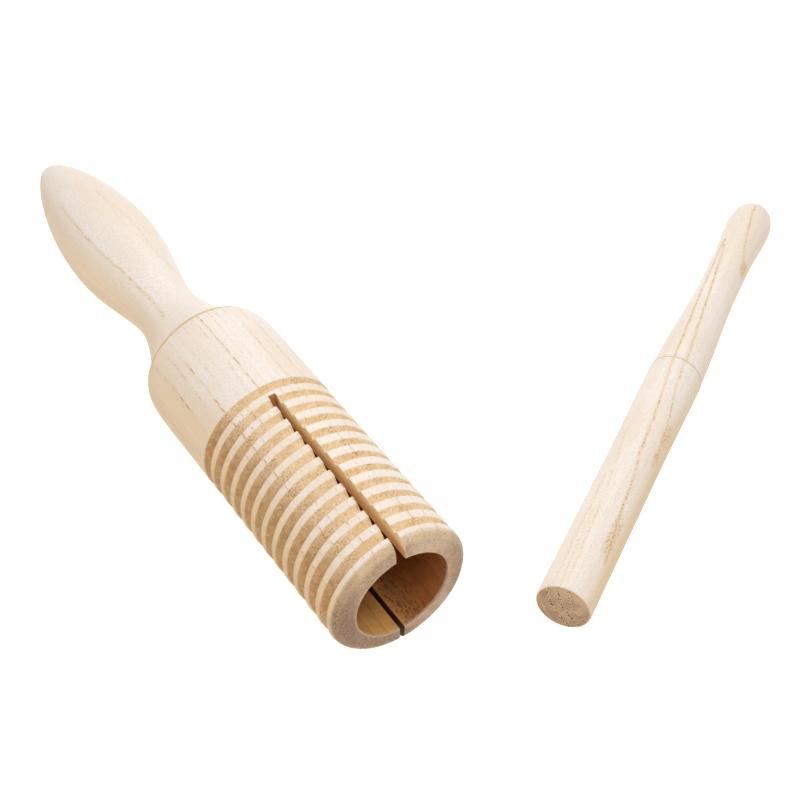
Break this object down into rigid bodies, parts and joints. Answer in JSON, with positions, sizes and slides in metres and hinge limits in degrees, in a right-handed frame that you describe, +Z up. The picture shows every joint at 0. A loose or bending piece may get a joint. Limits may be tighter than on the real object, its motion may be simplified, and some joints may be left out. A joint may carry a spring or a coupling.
{
  "type": "guiro",
  "caption": "Wooden guiro: a ribbed, slotted cylindrical sound barrel with a turned handle glued into its closed end, and a loose turned beater beside it.",
  "frame": {"origin": "centre of the sound bore at the mouth face", "axes": "+Y along the barrel's axis from the mouth to the handle's tip, +Z up with both pieces lying on the plane z = -0.020, +X towards the beater"},
  "size_m": [0.2167, 0.2255, 0.04],
  "materials": {
    "barrel_wood": "bare pale hardwood, sanded ribs, sawn tan grooves and end grain",
    "handle_wood": "bare pale hardwood, fine sanded",
    "beater_wood": "bare pale hardwood with open dotted grain, fine sanded"
  },
  "bodies": {
    "guiro": {"barrel": "barrel_wood", "handle": "handle_wood"},
    "beater": {"beater": "beater_wood"}
  },
  "joints": [
    {"name": "beater_stroke", "type": "slide", "parent": "guiro", "child": "beater", "axis": [0, 1, 0], "range_m": [0, 0.06]}
  ]
}
